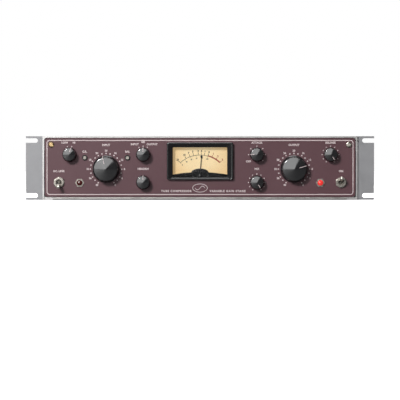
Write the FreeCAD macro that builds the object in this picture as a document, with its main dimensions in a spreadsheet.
"""Two-unit rack compressor with a hinged front panel, modelled in millimetres.

X runs to the right seen from the front, Y to the rear and Z up.  The origin is on the
underside, midway between the rack ears, in the plane of the ears' rear faces.
"""
import FreeCAD, Part
import os
import re

import Sketcher
from FreeCAD import Placement, Rotation, Vector

doc = FreeCAD.newDocument("RackCompressor")
sheet = doc.addObject("Spreadsheet::Sheet", "Dimensions")

# Driving dimensions: alias, value in millimetres or degrees, what it is.
DRIVING = (
    ("panel_width", 482.6, "19 inch rack width over the ears"),
    ("panel_height", 88.1, "two rack units less the usual gap"),
    ("notch_rise", 5.95, "first notch above the underside"),
    ("notch_spacing", 76.2, "vertical distance between a rack ear's notches"),
    ("notch_centre", 227.9, "round end of a notch, from the middle"),
    ("notch_radius", 3.15, "half the width of a notch"),
    ("ear_gauge", 3.0, "rack ear thickness"),
    ("flange_gauge", 2.5, "thickness of an ear's side flange"),
    ("flange_depth", 40.0, "side flange length to the rear"),
    ("body_half", 218.0, "half the width of the chassis"),
    ("sheet_gauge", 1.6, "chassis sheet thickness"),
    ("frame_front", -6.5, "front of the frame strip"),
    ("frame_rear", 8.0, "rear of the frame strip, where the tray starts"),
    ("frame_side", 215.9, "inner side of the frame strip, from the middle"),
    ("frame_top", 86.0, "underside of the frame's top strip"),
    ("foot_side", 203.6, "inner end of the frame's feet"),
    ("foot_top", 3.8, "top of the frame's feet"),
    ("foot_front", -4.5, "front of the frame's feet"),
    ("corner_radius", 4.0, "corner radius of the door and its frame"),
    ("tongue_front", -1.5, "front of the tray floor, under the hinge leaf"),
    ("tray_rear", 180.0, "rear edge of the tray"),
    ("tray_low", 42.0, "height of the tray walls at the rear"),
    ("slope_start", 76.0, "where the tray walls start to slope"),
    ("deck_front", 70.0, "front of the upright component deck"),
    ("door_half", 215.0, "half the width of the door"),
    ("door_low", 4.2, "lower edge of the door"),
    ("door_high", 85.4, "upper edge of the door"),
    ("door_front", -7.0, "front face of the door"),
    ("door_rear", -4.0, "rear face of the door"),
    ("axis_depth", -3.5, "hinge axis, from the rack plane"),
    ("axis_rise", 2.2, "hinge axis above the underside"),
    ("knuckle_radius", 1.7, "outside of the hinge knuckles"),
    ("knuckle_pitch", 12.7, "length of one knuckle"),
    ("hinge_half", 203.2, "half the length of the hinge"),
    ("pin_radius", 0.9, "hinge pin"),
    ("leaf_gauge", 0.8, "hinge leaf thickness"),
    ("attenuator_x", 130.0, "large knobs, from the middle"),
    ("attenuator_z", 42.5, "large knobs above the underside"),
    ("outer_x", 180.6, "outer small knobs"),
    ("inner_x", 78.7, "inner small knobs"),
    ("upper_z", 62.6, "upper row of small knobs"),
    ("lower_z", 24.1, "lower row of small knobs"),
    ("toggle_x", 195.2, "toggle switches"),
    ("toggle_z", 24.1, "toggle switches"),
    ("lamp_x", 166.6, "pilot lamps"),
    ("lamp_z", 23.6, "pilot lamps"),
    ("trimmer_near", 100.4, "trimmer nearer the meter"),
    ("trimmer_far", 159.5, "trimmer further from the meter"),
    ("trimmer_z", 58.3, "trimmers"),
    ("latch_x", 206.0, "door screws"),
    ("latch_z", 76.4, "door screws"),
    ("bushing_radius", 4.7, "threaded bushing of a rotary control"),
    ("shaft_radius", 3.175, "quarter inch control shaft"),
    ("bezel_half", 45.85, "half the width of the meter bezel"),
    ("bezel_low", 27.85, "lower edge of the meter bezel"),
    ("bezel_high", 79.35, "upper edge of the meter bezel"),
    ("case_half", 40.0, "half the width of the meter case"),
    ("case_low", 30.0, "underside of the meter case"),
    ("case_high", 76.0, "top of the meter case"),
    ("window_half", 38.0, "half the width of the meter window"),
    ("window_low", 31.6, "lower edge of the meter window"),
    ("window_high", 73.0, "upper edge of the meter window"),
    ("pivot_rise", 33.0, "needle pivot above the underside"),
    ("tube_rise", 58.0, "vacuum tube axis above the underside"),
)
for row, (alias, size, meaning) in enumerate(DRIVING, start=1):
    sheet.set(f"A{row}", str(size))
    sheet.setAlias(f"A{row}", alias)
    sheet.set(f"B{row}", meaning)
doc.recompute()

RUNNING_GAP = 0.05  # radial clearance of a shaft in its bushing
TURN_TO_Y = Rotation(Vector(1, 0, 0), -90)  # takes a cylinder's own axis to +Y
TURN_TO_X = Rotation(Vector(0, 1, 0), 90)  # takes a cylinder's own axis to +X

nodes = []


def bound(text):
    """Put the sheet's name before every alias: an alias is a word with an underscore."""
    return re.sub(r"[a-z]+(?:_[a-z]+)+", r"Dimensions.\g<0>", str(text))


def value(text):
    """The present value of an expression, used for a sketch's first guess."""
    return float(sheet.evalExpression(bound(text)))


def keep(piece, label):
    """Make a finished object one node of the assembly."""
    piece.Label = label
    nodes.append(piece)
    return piece


# ---------------------------------------------------------------- solids


def place(piece, x, y, z):
    piece.setExpression("Placement.Base.x", bound(x))
    piece.setExpression("Placement.Base.y", bound(y))
    piece.setExpression("Placement.Base.z", bound(z))
    return piece


def block(x_low, x_high, y_low, y_high, z_low, z_high):
    """A box between two corners."""
    piece = doc.addObject("Part::Box", "Block")
    piece.setExpression("Length", bound(f"({x_high}) - ({x_low})"))
    piece.setExpression("Width", bound(f"({y_high}) - ({y_low})"))
    piece.setExpression("Height", bound(f"({z_high}) - ({z_low})"))
    return place(piece, x_low, y_low, z_low)


def rod(radius, x, z, front, rear):
    """A cylinder along Y."""
    piece = doc.addObject("Part::Cylinder", "Rod")
    piece.Placement.Rotation = TURN_TO_Y
    piece.setExpression("Radius", bound(radius))
    piece.setExpression("Height", bound(f"({rear}) - ({front})"))
    return place(piece, x, front, z)


def cross_rod(radius, y, z, left, right):
    """A cylinder along X."""
    piece = doc.addObject("Part::Cylinder", "CrossRod")
    piece.Placement.Rotation = TURN_TO_X
    piece.setExpression("Radius", bound(radius))
    piece.setExpression("Height", bound(f"({right}) - ({left})"))
    return place(piece, left, y, z)


def post(radius, x, y, bottom, top):
    """A cylinder along Z."""
    piece = doc.addObject("Part::Cylinder", "Post")
    piece.setExpression("Radius", bound(radius))
    piece.setExpression("Height", bound(f"({top}) - ({bottom})"))
    return place(piece, x, y, bottom)


def hexagon(across_flats, x, z, front, rear):
    """A hexagonal prism along Y."""
    piece = doc.addObject("Part::Prism", "Hexagon")
    piece.Polygon = 6
    piece.Circumradius = across_flats / 3**0.5
    piece.Placement.Rotation = TURN_TO_Y
    piece.setExpression("Height", bound(f"({rear}) - ({front})"))
    return place(piece, x, front, z)


def ball(radius, x, y, z):
    piece = doc.addObject("Part::Sphere", "Ball")
    piece.Radius = radius
    return place(piece, x, y, z)


def joined(pieces):
    fused = doc.addObject("Part::MultiFuse", "Joined")
    fused.Shapes = pieces
    return fused


def cut(base, tools):
    """The base less one tool or several."""
    result = doc.addObject("Part::Cut", "Difference")
    result.Base = base
    result.Tool = tools[0] if len(tools) == 1 else joined(tools)
    return result


def group(pieces):
    """Separate solids of the same kind in one node."""
    together = doc.addObject("Part::Compound", "Group")
    together.Links = pieces
    return together


# ---------------------------------------------------------------- sketches


def origin_plane(body, role):
    return next(plane for plane in body.Origin.OriginFeatures if plane.Role == role)


def sketch_on(body, role, offset=0):
    """A sketch on one of the body's own origin planes, moved along the plane's normal."""
    sketch = body.newObject("Sketcher::SketchObject", "Sketch")
    sketch.AttachmentSupport = [(origin_plane(body, role), "")]
    sketch.MapMode = "FlatFace"
    sketch.setExpression("AttachmentOffset.Base.z", bound(offset))
    return sketch


def pin_point(sketch, geometry, point, across, along):
    """Fix one point of a sketch by its two distances from the origin."""
    for kind, distance in (("DistanceX", across), ("DistanceY", along)):
        number = sketch.addConstraint(
            Sketcher.Constraint(kind, -1, 1, geometry, point, value(distance))
        )
        sketch.setExpression(f"Constraints[{number}]", bound(distance))


def polygon(sketch, corners):
    first = sketch.GeometryCount
    spots = [Vector(value(across), value(along), 0) for across, along in corners]
    for spot, following in zip(spots, spots[1:] + spots[:1]):
        sketch.addGeometry(Part.LineSegment(spot, following), False)
    for side in range(len(corners)):
        following = first + (side + 1) % len(corners)
        sketch.addConstraint(Sketcher.Constraint("Coincident", first + side, 2, following, 1))
    for side, (across, along) in enumerate(corners):
        pin_point(sketch, first + side, 1, across, along)


def rectangle(sketch, left, right, low, high):
    polygon(sketch, [(left, low), (right, low), (right, high), (left, high)])


def circle(sketch, across, along, radius):
    centre = Vector(value(across), value(along), 0)
    number = sketch.addGeometry(Part.Circle(centre, Vector(0, 0, 1), value(radius)), False)
    pin_point(sketch, number, 3, across, along)
    size = sketch.addConstraint(Sketcher.Constraint("Radius", number, value(radius)))
    sketch.setExpression(f"Constraints[{size}]", bound(radius))


def pad(body, sketch, length):
    feature = body.newObject("PartDesign::Pad", "Pad")
    feature.Profile = sketch
    feature.setExpression("Length", bound(length))
    doc.recompute()
    return feature


def pocket(body, sketch, length=None):
    """Cut through the whole body both ways, or to a depth against the sketch's normal."""
    before = body.Shape.Volume
    feature = body.newObject("PartDesign::Pocket", "Pocket")
    feature.Profile = sketch
    if length is None:
        feature.Type = 1
        feature.Midplane = True
    else:
        feature.setExpression("Length", bound(length))
    doc.recompute()
    if not feature.Shape.Volume < before - 1e-3:
        raise RuntimeError(f"a pocket in {body.Label} cuts nothing")
    return feature


def round_edges(body, radius, spots):
    """Fillet the edges along Y that pass through the given places in the front view."""
    tip = body.Tip
    names = []
    for number, edge in enumerate(tip.Shape.Edges, start=1):
        along = edge.tangentAt(edge.FirstParameter)
        if abs(along.y) < 0.999 or abs(edge.Vertexes[0].Y - edge.Vertexes[-1].Y) < 0.5:
            continue
        for x, z in spots:
            if abs(edge.Vertexes[0].X - value(x)) + abs(edge.Vertexes[0].Z - value(z)) < 0.02:
                names.append(f"Edge{number}")
    fillet = body.newObject("PartDesign::Fillet", "Fillet")
    fillet.Base = (tip, names)
    fillet.setExpression("Radius", bound(radius))
    doc.recompute()
    return fillet


def plate(label, front, rear, corners, circles=(), windows=()):
    """A flat plate across the front view, between two depths, with its holes."""
    body = doc.addObject("PartDesign::Body", label)
    sketch = sketch_on(body, "XZ_Plane", f"-({rear})")
    polygon(sketch, corners)
    for hole in circles:
        circle(sketch, *hole)
    for window in windows:
        rectangle(sketch, *window)
    pad(body, sketch, f"({rear}) - ({front})")
    return keep(body, label)


def box_corners(left, right, low, high):
    return [(left, low), (right, low), (right, high), (left, high)]


def turned(name, profile):
    """A solid of revolution about Y, from half its section as (radius, depth) corners."""
    body = doc.addObject("PartDesign::Body", name)
    sketch = sketch_on(body, "XY_Plane")
    polygon(sketch, profile)
    doc.recompute()
    feature = body.newObject("PartDesign::Revolution", "Revolution")
    feature.Profile = sketch
    feature.ReferenceAxis = (sketch, ["V_Axis"])
    feature.Angle = 360
    doc.recompute()
    return body


def repeat_along_x(body, feature, sketch, length, count):
    pattern = body.newObject("PartDesign::LinearPattern", "LinearPattern")
    pattern.Originals = [feature]
    pattern.Direction = (sketch, ["H_Axis"])
    pattern.setExpression("Length", bound(length))
    pattern.Occurrences = count
    body.Tip = pattern
    doc.recompute()
    return pattern


# ---------------------------------------------------------------- where the controls are

BOTH_SIDES = (-1, 1)
SMALL_KNOBS = {
    "ratio": ("-outer_x", "upper_z"),
    "meter": ("-inner_x", "upper_z"),
    "headroom": ("-inner_x", "lower_z"),
    "attack": ("inner_x", "upper_z"),
    "mix": ("inner_x", "lower_z"),
    "release": ("outer_x", "upper_z"),
}
LARGE_KNOBS = {
    "input": ("-attenuator_x", "attenuator_z"),
    "output": ("attenuator_x", "attenuator_z"),
}
SWITCHED = ("ratio", "meter", "attack")
TRIMMERS = {"gain_reduction": "-trimmer_far", "balance": "-trimmer_near"}
EAR_SCREW_SPOTS = [(y, z) for y in (12, 30) for z in (18, 70)]
TUBE_X = [-130 + 30 * number for number in range(5)]
TUBE_SOCKET_RADIUS = 10.0


# ---------------------------------------------------------------- chassis


def front_frame():
    """The narrow portal that borders the door, with two feet beside the hinge."""
    outline = [
        ("-body_half", 0), ("-foot_side", 0), ("-foot_side", "foot_top"),
        ("-frame_side", "foot_top"), ("-frame_side", "frame_top"),
        ("frame_side", "frame_top"), ("frame_side", "foot_top"),
        ("foot_side", "foot_top"), ("foot_side", 0), ("body_half", 0),
        ("body_half", "panel_height"), ("-body_half", "panel_height"),
    ]
    body = plate("front_frame", "frame_front", "frame_rear", outline)
    inner = [("-frame_side", "frame_top"), ("frame_side", "frame_top")]
    round_edges(body, "corner_radius", inner)
    sketch = sketch_on(body, "XZ_Plane", "-frame_front")
    rectangle(sketch, "-frame_side", "-foot_side + 1", -1, "foot_top + 0.01")
    rectangle(sketch, "foot_side - 1", "frame_side", -1, "foot_top + 0.01")
    pocket(body, sketch, "foot_front - frame_front")


def chassis_tray():
    """A folded steel U whose walls slope down towards the rear."""
    inner = "body_half - sheet_gauge"
    top = "panel_height - sheet_gauge"
    outline = [
        ("-body_half", 0), ("body_half", 0), ("body_half", top), (inner, top),
        (inner, "sheet_gauge"), (f"-({inner})", "sheet_gauge"),
        (f"-({inner})", top), ("-body_half", top),
    ]
    body = plate("chassis_tray", "frame_rear", "tray_rear", outline)
    tongue = sketch_on(body, "XZ_Plane", "-frame_rear")
    rectangle(tongue, "-hinge_half", "hinge_half", 0, "sheet_gauge")
    pad(body, tongue, "frame_rear - tongue_front")
    slope = sketch_on(body, "YZ_Plane")
    polygon(slope, [("slope_start", f"{top} + 0.01"), ("tray_rear + 1", "tray_low"),
                    ("tray_rear + 1", f"{top} + 0.01")])
    pocket(body, slope)
    screw_holes = sketch_on(body, "YZ_Plane")
    for y, z in EAR_SCREW_SPOTS:
        circle(screw_holes, y, z, 2.0)
    pocket(body, screw_holes)


def top_plate():
    """The lid of the front bay, with a row of narrow vents."""
    body = doc.addObject("PartDesign::Body", "top_plate")
    sketch = sketch_on(body, "XY_Plane", "panel_height - sheet_gauge")
    rectangle(sketch, "-body_half", "body_half", "frame_rear", "deck_front + 4")
    pad(body, sketch, "sheet_gauge")
    vent = sketch_on(body, "XY_Plane", "panel_height - sheet_gauge")
    rectangle(vent, -153, -150, 24, 58)
    first = pocket(body, vent)
    repeat_along_x(body, first, vent, 300, 26)
    keep(body, "top_plate")


def component_deck():
    """The upright plate that carries the tubes, the transformers' wires and the sockets."""
    side = "body_half - sheet_gauge"
    holes = [(x, "tube_rise", TUBE_SOCKET_RADIUS + 0.1) for x in TUBE_X]
    holes += [(x, 40, 6) for x in (-178, 30, 95)]
    holes.append((198, 70, 6.6))
    plate(
        "component_deck", "deck_front", "deck_front + sheet_gauge",
        box_corners(f"-({side})", side, "sheet_gauge", "panel_height - sheet_gauge"),
        holes, [(188.4, 207.6, 17.2, 44.8)],
    )


def rack_ear(label, side):
    """An L bracket: a notched front flange and a side flange screwed to the tray."""
    inner, outer = f"{side} * body_half", f"{side} * panel_width / 2"
    left, right = (inner, outer) if side > 0 else (outer, inner)
    body = plate(label, "-ear_gauge", 0, box_corners(left, right, 0, "panel_height"))
    for rise in ("notch_rise", "notch_rise + notch_spacing"):
        centre = f"{side} * notch_centre"
        sketch = sketch_on(body, "XZ_Plane", "ear_gauge")
        circle(sketch, centre, rise, "notch_radius")
        pocket(body, sketch)
        mouth = sketch_on(body, "XZ_Plane", "ear_gauge")
        ends = (centre, f"{outer} + {side}") if side > 0 else (f"{outer} + {side}", centre)
        rectangle(mouth, *ends, f"{rise} - notch_radius", f"{rise} + notch_radius")
        pocket(body, mouth)
    flange = sketch_on(body, "XZ_Plane", "-flange_depth")
    edge = f"{side} * (body_half + flange_gauge)"
    left, right = (inner, edge) if side > 0 else (edge, inner)
    rectangle(flange, left, right, 0, "panel_height")
    pad(body, flange, "flange_depth")
    screw_holes = sketch_on(body, "YZ_Plane")
    for y, z in EAR_SCREW_SPOTS:
        circle(screw_holes, y, z, 2.0)
    pocket(body, screw_holes)


def ear_screws():
    """Four pan-head screws through each side flange and the tray wall."""
    screws = []
    for side in BOTH_SIDES:
        for y, z in EAR_SCREW_SPOTS:
            seat, tip = "body_half + flange_gauge", "body_half - 4"
            head_top = f"{seat} + 2.2"
            if side > 0:
                shank = cross_rod(2.0, y, z, tip, seat)
                head = cross_rod(3.8, y, z, seat, head_top)
            else:
                shank = cross_rod(2.0, y, z, f"-({seat})", f"-({tip})")
                head = cross_rod(3.8, y, z, f"-({head_top})", f"-({seat})")
            screws.append(joined([shank, head]))
    keep(group(screws), "ear_screws")


# ---------------------------------------------------------------- hinge


def hinge_leaf(label, leaf_box, first_gap, gap_box_plane, gap_low, gap_high):
    """A leaf with every second knuckle cut away, so that two leaves mesh on one pin."""
    body = doc.addObject("PartDesign::Body", label)
    barrel = sketch_on(body, "YZ_Plane", "-hinge_half")
    circle(barrel, "axis_depth", "axis_rise", "knuckle_radius")
    circle(barrel, "axis_depth", "axis_rise", f"pin_radius + {RUNNING_GAP}")
    pad(body, barrel, "2 * hinge_half")
    leaf = sketch_on(body, "YZ_Plane", "-hinge_half")
    rectangle(leaf, *leaf_box)
    pad(body, leaf, "2 * hinge_half")
    gap = sketch_on(body, gap_box_plane)
    left = f"-hinge_half + {first_gap} * knuckle_pitch - 0.1"
    rectangle(gap, left, f"{left} + knuckle_pitch + 0.2", gap_low, gap_high)
    first = pocket(body, gap)
    repeat_along_x(body, first, gap, "30 * knuckle_pitch", 16)
    return keep(body, label)


def hinge():
    """A continuous hinge: 32 knuckles shared by the two leaves, and its pin."""
    into_ring = "knuckle_radius - 0.5"
    fixed_leaf = (f"axis_depth + {into_ring}", 20, "sheet_gauge", "sheet_gauge + leaf_gauge")
    hinge_leaf("hinge_leaf_fixed", fixed_leaf, 0, "XY_Plane",
               "axis_depth - 2", "axis_depth + knuckle_radius + 0.2")
    door_leaf = ("door_rear", "door_rear + leaf_gauge", f"axis_rise + {into_ring}", 10.6)
    hinge_leaf("hinge_leaf_door", door_leaf, 1, "XZ_Plane",
               "axis_rise - 2", "axis_rise + knuckle_radius + 0.15")
    pin = cross_rod("pin_radius", "axis_depth", "axis_rise", "-hinge_half", "hinge_half")
    keep(pin, "hinge_pin")


# ---------------------------------------------------------------- door and its fittings


def door_panel():
    """The painted front panel, drilled for every control."""
    clear = "bushing_radius + 0.1"
    holes = [(x, z, clear) for x, z in list(SMALL_KNOBS.values()) + list(LARGE_KNOBS.values())]
    holes += [(x, "trimmer_z", 3.1) for x in TRIMMERS.values()]
    for side in BOTH_SIDES:
        holes.append((f"{side} * toggle_x", "toggle_z", 6.0))
        holes.append((f"{side} * lamp_x", "lamp_z", 4.6))
        holes.append((f"{side} * latch_x", "latch_z", 2.4))
    window = ("-case_half - 0.2", "case_half + 0.2", "case_low - 0.2", "case_high + 0.2")
    corners = box_corners("-door_half", "door_half", "door_low", "door_high")
    body = plate("door_panel", "door_front", "door_rear", corners, holes, [window])
    round_edges(body, "corner_radius", corners)


def door_catches():
    """Two drilled lugs inside the frame that take the door's screws."""
    lugs = []
    for side in BOTH_SIDES:
        near, far = f"{side} * 199", f"{side} * frame_side"
        left, right = (near, far) if side > 0 else (far, near)
        lug = block(left, right, -3, -0.5, 68, 81.8)
        lugs.append(cut(lug, [rod(2.6, f"{side} * latch_x", "latch_z", -4, 1)]))
    keep(group(lugs), "door_catches")


def door_screws():
    """Slotted screws, one in each top corner of the door."""
    for side, name in zip(BOTH_SIDES, ("left", "right")):
        profile = [(0, -2.4), (3.0, -2.4), (3.9, -1.7), (3.9, -0.2), (2.0, -0.2),
                   (2.0, 8.6), (1.6, 9.0), (0, 9.0)]
        body = turned(f"door_screw_{name}", profile)
        slot = sketch_on(body, "XZ_Plane", 2.41)
        rectangle(slot, -4, 4, -0.55, 0.55)
        pocket(body, slot, 1.0)
        place(body, f"{side} * latch_x", "door_front", "latch_z")
        keep(body, f"door_screw_{name}")


def knob(name, x, z, sizes):
    """A skirted knob, hollow underneath over the panel nut, with a fluted cap."""
    skirt, cap, rise, recess, flutes = sizes
    shaft_tip = -13.0
    profile = [
        (0, shaft_tip), ("shaft_radius", shaft_tip), ("shaft_radius", -3.6), (recess, -3.6),
        (recess, -0.8), (skirt, -0.8), (skirt, -2.2), (cap + 0.6, -4.4),
        (cap, 0.9 - rise), (cap - 1.1, -rise), (0, -rise),
    ]
    body = turned(f"knob_{name}", profile)
    flute = sketch_on(body, "XZ_Plane", rise + 1)
    circle(flute, cap + 1.0, 0, 1.5)
    first = pocket(body, flute, rise - 5)
    pattern = body.newObject("PartDesign::PolarPattern", "PolarPattern")
    pattern.Originals = [first]
    pattern.Axis = (flute, ["N_Axis"])
    pattern.Angle = 360
    pattern.Occurrences = flutes
    body.Tip = pattern
    doc.recompute()
    place(body, x, "door_front", z)
    keep(body, f"knob_{name}")
    shaft = rod("shaft_radius", x, z, f"door_front + {shaft_tip}", 6)
    keep(shaft, f"shaft_{name}")


def knobs():
    for name, (x, z) in LARGE_KNOBS.items():
        knob(name, x, z, (18.8, 15.6, 21.0, 9.0, 24))
    for name, (x, z) in SMALL_KNOBS.items():
        knob(name, x, z, (9.8, 8.4, 16.0, 8.0, 16))


def control_body(x, z, radius, rear, bushing="bushing_radius", shaft="shaft_radius"):
    """A rotary control behind the door: its case, its bushing and the bore for the shaft."""
    case = rod(radius, x, z, "door_rear", rear)
    thread = rod(bushing, x, z, "door_front - 3", "door_rear + 1")
    bore = rod(f"{shaft} + {RUNNING_GAP}", x, z, "door_front - 4", 6.5)
    return cut(joined([case, thread]), [bore])


def rotary_controls():
    cases = [control_body(*spot, 20, 34) for spot in LARGE_KNOBS.values()]
    keep(group(cases), "attenuators")
    switches = [control_body(*SMALL_KNOBS[name], 13, 29) for name in SWITCHED]
    keep(group(switches), "rotary_switches")
    pots = [control_body(*spot, 12, 14)
            for name, spot in SMALL_KNOBS.items() if name not in SWITCHED]
    for x in TRIMMERS.values():
        pots.append(control_body(x, "trimmer_z", 6, 14, 3.0, 2.0))
    keep(group(pots), "potentiometers")


def panel_nuts():
    """One hexagonal nut in front of the door for every threaded bushing."""
    nuts = []
    for x, z in list(LARGE_KNOBS.values()) + list(SMALL_KNOBS.values()):
        nut = hexagon(12.7, x, z, "door_front - 2.2", "door_front")
        nuts.append(cut(nut, [rod("bushing_radius", x, z, "door_front - 4", "door_rear")]))
    for x in TRIMMERS.values():
        ring = rod(3.8, x, "trimmer_z", "door_front - 1.6", "door_front")
        nuts.append(cut(ring, [rod(3.0, x, "trimmer_z", "door_front - 4", "door_rear")]))
    for side in BOTH_SIDES:
        x = f"{side} * toggle_x"
        nut = hexagon(14.3, x, "toggle_z", "door_front - 2.4", "door_front")
        nuts.append(cut(nut, [rod(5.9, x, "toggle_z", "door_front - 4", "door_rear")]))
    keep(group(nuts), "panel_nuts")


def trimmer_screws():
    """Slotted shafts, set with a screwdriver."""
    for name, x in TRIMMERS.items():
        shaft = rod(2.0, x, "trimmer_z", "door_front - 3.8", 6)
        slot = block(f"{x} - 3", f"{x} + 3", "door_front - 4", "door_front - 2.8",
                     "trimmer_z - 0.4", "trimmer_z + 0.4")
        keep(cut(shaft, [slot]), f"trimmer_{name}")


TOGGLE_PIVOT = -6.0  # depth of the lever's pivot
TOGGLE_TILT = 17.0  # lever angle from level, up or down


def toggles():
    """Two toggle switches: fixed bodies and tilted bat levers on their pivot pins."""
    bodies = []
    for side, name, tilt in ((-1, "left", TOGGLE_TILT), (1, "right", -TOGGLE_TILT)):
        x = f"{side} * toggle_x"
        case = block(f"{x} - 7.5", f"{x} + 7.5", "door_rear", 22, "toggle_z - 13", "toggle_z + 13")
        thread = rod(5.9, x, "toggle_z", -12.5, "door_rear + 1")
        throat = rod(4.4, x, "toggle_z", -13, -2.5)
        pin_bore = cross_rod(0.85, TOGGLE_PIVOT, "toggle_z", f"{x} - 6.5", f"{x} + 6.5")
        bodies.append(cut(joined([case, thread]), [throat, pin_bore]))
        profile = [(0, -22), (1.6, -21.6), (2.7, -20.4), (2.9, -18.5), (1.6, -3), (1.5, 0),
                   (0, 0)]
        bat = turned(f"Bat{name}", profile)
        pivot = ball(2.6, 0, 0, 0)
        pivot.Placement.Rotation = TURN_TO_X
        lever = joined([bat, pivot, cross_rod(0.8, 0, 0, -5.7, 5.7)])
        lever.Placement.Rotation = Rotation(Vector(1, 0, 0), tilt)
        place(lever, x, TOGGLE_PIVOT, "toggle_z")
        keep(lever, f"toggle_lever_{name}")
    keep(group(bodies), "toggle_bodies")


def pilot_lamps():
    """Two indicator lamps: a barrel with a hexagonal flange and a domed lens each."""
    barrels = []
    for side, name in zip(BOTH_SIDES, ("left", "right")):
        barrel = turned(f"Barrel{name}", [
            (0, 3), (4.0, 3), (4.0, -2.6), (4.7, -2.6), (5.0, -2.2), (5.0, 0),
            (4.5, 0), (4.5, 20), (0, 20),
        ])
        place(barrel, f"{side} * lamp_x", "door_front", "lamp_z")
        flange = hexagon(10.8, f"{side} * lamp_x", "lamp_z", "door_front - 1.6", "door_front")
        ring = cut(flange, [rod(4.25, f"{side} * lamp_x", "lamp_z", -10, "door_rear")])
        barrels.append(joined([barrel, ring]))
        lens = turned(f"lamp_lens_{name}", [
            (0, 2.8), (3.95, 2.8), (3.95, -3.0), (3.6, -4.0), (2.6, -4.9), (1.3, -5.4),
            (0, -5.5),
        ])
        place(lens, f"{side} * lamp_x", "door_front", "lamp_z")
        keep(lens, f"lamp_lens_{name}")
    keep(group(barrels), "lamp_bezels")


# ---------------------------------------------------------------- meter

GLASS_FRONT, GLASS_REAR = -10.5, -9.2
MASK_FRONT, MASK_REAR = -9.0, -4.4
NEEDLE_FRONT, NEEDLE_REAR = -3.0, -2.5
DIAL_FRONT, DIAL_REAR = -1.4, -0.6
NEEDLE_ANGLE = 4.5  # rest position, clockwise from upright
NEEDLE_REACH = 29.0


def meter_housing():
    """The bezel in front of the door and the box-shaped case that passes through it."""
    bezel_front = "door_front - 7"
    body = plate(
        "meter_bezel", bezel_front, "door_front",
        box_corners("-bezel_half", "bezel_half", "bezel_low", "bezel_high"),
        windows=[("-window_half", "window_half", "window_low", "window_high")],
    )
    rebate = sketch_on(body, "XZ_Plane", -GLASS_FRONT)
    rectangle(rebate, "-case_half", "case_half", "case_low", "case_high")
    pocket(body, rebate, f"door_front - ({GLASS_FRONT})")
    plate("meter_glass", GLASS_FRONT, GLASS_REAR,
          box_corners("-case_half + 0.1", "case_half - 0.1", "case_low + 0.1", "case_high - 0.1"))
    shell = block("-case_half", "case_half", "door_front", 26, "case_low", "case_high")
    hollow = block("-case_half + 1.5", "case_half - 1.5", "door_front - 1", 24.5,
                   "case_low + 1.5", "case_high - 1.5")
    keep(cut(shell, [hollow]), "meter_case")


def meter_inside():
    """Dial, the black cover over the movement, the movement, and the needle."""
    plate("meter_dial", DIAL_FRONT, DIAL_REAR,
          box_corners("-case_half + 1.5", "case_half - 1.5", "case_low + 1.5", "case_high - 1.5"),
          circles=[(0, "pivot_rise", 1.4)])
    cover = block("-case_half + 1.6", "case_half - 1.6", MASK_FRONT, MASK_REAR,
                  "case_low + 1.6", 35.2)
    dome = rod(10.2, 0, "pivot_rise", MASK_FRONT, MASK_REAR)
    below = block(-12, 12, -12, 0, 10, "case_low + 1.6")
    keep(cut(joined([cover, dome]), [below]), "meter_mask")
    yoke = block(-16, 16, 1.5, 20, "case_low + 1.6", 48)
    posts = [rod(1.5, x, 44, DIAL_REAR, 1.5) for x in (-12, 12)]
    bearing = rod(1.2, 0, "pivot_rise", 1, 8)
    back = block(-6, 6, 20, 24.5, 34, 44)
    keep(cut(joined([yoke, back] + posts), [bearing]), "meter_movement")
    pointer = doc.addObject("Part::Wedge", "Pointer")
    pointer.Xmin, pointer.Xmax, pointer.X2min, pointer.X2max = -0.45, 0.45, -0.2, 0.2
    pointer.Zmin, pointer.Zmax, pointer.Z2min, pointer.Z2max = 0, 0.5, 0, 0.5
    pointer.Ymin, pointer.Ymax = 0, NEEDLE_REACH
    pointer.Placement = Placement(Vector(0, 0.5, 0), Rotation(Vector(1, 0, 0), 90))
    staff = rod(1.0, 0, 0, -0.4, 8)
    needle = joined([pointer, staff])
    needle.Placement.Rotation = Rotation(Vector(0, 1, 0), NEEDLE_ANGLE)
    place(needle, 0, NEEDLE_FRONT, "pivot_rise")
    keep(needle, "meter_needle")


# ---------------------------------------------------------------- electronics


def power_transformer():
    """A laminated core between two steel bells, on the tray floor."""
    core = block(104, 180, 98, 132, "sheet_gauge", 65.6)
    bells = [block(110, 174, 80, 98, 8, 60), block(110, 174, 132, 150, 8, 60)]
    keep(joined([core] + bells), "power_transformer")


def canned_parts():
    """Two audio transformers and two smoothing capacitors in drawn cans."""
    keep(block(46, 92, 85, 131, "sheet_gauge", 66), "output_transformer")
    keep(block(-192, -152, 88, 128, "sheet_gauge", 60), "input_transformer")
    cans = [post(14, 22, y, "sheet_gauge", 70) for y in (98, 134)]
    keep(group(cans), "filter_capacitors")


def vacuum_tubes():
    """Five horizontal tubes on the deck: socket, glass envelope and electrodes each."""
    deck_rear = "deck_front + sheet_gauge"
    sockets, envelopes, electrodes = [], [], []
    for number, x in enumerate(TUBE_X):
        flange = rod(13, x, "tube_rise", deck_rear, f"{deck_rear} + 3")
        barrel = rod(TUBE_SOCKET_RADIUS, x, "tube_rise", 64, f"{deck_rear} + 7")
        sockets.append(joined([flange, barrel]))
        envelope = turned(f"Envelope{number}", [
            (0, 0), (9.5, 0), (10.5, 1.5), (10.5, 39), (9.2, 43.5), (6, 47), (2, 48.5),
            (1.2, 52), (0, 52.5), (0, 51), (1.0, 47.5), (5.4, 46), (8.4, 42.9), (9.5, 39),
            (9.5, 2), (0, 2),
        ])
        place(envelope, x, f"{deck_rear} + 7", "tube_rise")
        envelopes.append(envelope)
        electrodes.append(rod(5.5, x, "tube_rise", f"{deck_rear} + 9", f"{deck_rear} + 45"))
    keep(group(sockets), "tube_sockets")
    keep(group(envelopes), "tube_glass")
    keep(group(electrodes), "tube_electrodes")


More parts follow.
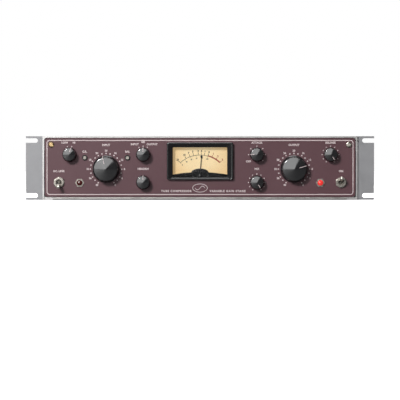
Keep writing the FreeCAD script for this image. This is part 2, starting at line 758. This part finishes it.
def circuit_boards():
    """Two turret boards on pillars in front of the deck."""
    boards = []
    for left, right in ((-190, -40), (20, 170)):
        board = block(left, right, 56, 58, 12, 34)
        pillars = [rod(3, x, 23, 58, "deck_front") for x in (left + 8, right - 8)]
        turrets = [rod(1.2, left + 15 + 12 * number, z, 51, 56)
                   for number in range(11) for z in (17, 29)]
        boards.append(joined([board] + pillars + turrets))
    keep(group(boards), "circuit_boards")


def rear_connectors():
    """Mains inlet, fuse holder and the barrier strip for the audio wiring."""
    deck_rear = "deck_front + sheet_gauge"
    flange = block(187, 209, deck_rear, f"{deck_rear} + 3", 6, 56)
    shroud = block(188.4, 207.6, 54, f"{deck_rear} + 3", 17.2, 44.8)
    cavity = block(190.2, 205.8, 57, 80, 19, 43)
    shell = cut(joined([flange, shroud]), [cavity])
    blades = [block(197, 199, 57, 69, z - 2, z + 2) for z in (24, 31, 38)]
    keep(joined([shell] + blades), "mains_inlet")
    holder = [rod(6.5, 198, 70, 50, deck_rear), rod(9, 198, 70, deck_rear, f"{deck_rear} + 3"),
              rod(7, 198, 70, f"{deck_rear} + 3", f"{deck_rear} + 13")]
    keep(joined(holder), "fuse_holder")
    base = block(-132, -18, 150, 172, "sheet_gauge", 9)
    walls = [block(-132 + 12 * number - 1, -132 + 12 * number + 1, 150, 172, 9, 15)
             for number in range(1, 10)]
    keep(joined([base] + walls), "terminal_strip")


# ---------------------------------------------------------------- build and write

BUILDERS = (
    front_frame, chassis_tray, top_plate, component_deck, ear_screws, hinge,
    door_panel, door_catches, door_screws, knobs, rotary_controls, panel_nuts,
    trimmer_screws, toggles, pilot_lamps, meter_housing, meter_inside,
    power_transformer, canned_parts, vacuum_tubes, circuit_boards, rear_connectors,
)
for build in BUILDERS:
    build()
rack_ear("rack_ear_left", -1)
rack_ear("rack_ear_right", 1)
doc.recompute()

for item in doc.Objects:
    if "Invalid" in item.State or "Error" in item.State:
        raise RuntimeError(f"{item.Name} did not build: {item.State}")
for node in nodes:
    if node.Shape.isNull() or not node.Shape.isValid() or not node.Shape.Solids:
        raise RuntimeError(f"{node.Label} is not a valid solid")

os.makedirs("parts", exist_ok=True)
for node in nodes:
    node.Shape.exportStep(f"parts/{node.Label}.step")
    box = node.Shape.BoundBox
    print(f"{node.Label:24s} {len(node.Shape.Solids):3d} solids {node.Shape.Volume:12.1f} mm3  "
          f"X {box.XMin:.1f}..{box.XMax:.1f} Y {box.YMin:.1f}..{box.YMax:.1f} "
          f"Z {box.ZMin:.1f}..{box.ZMax:.1f}")
print(len(nodes), "nodes")
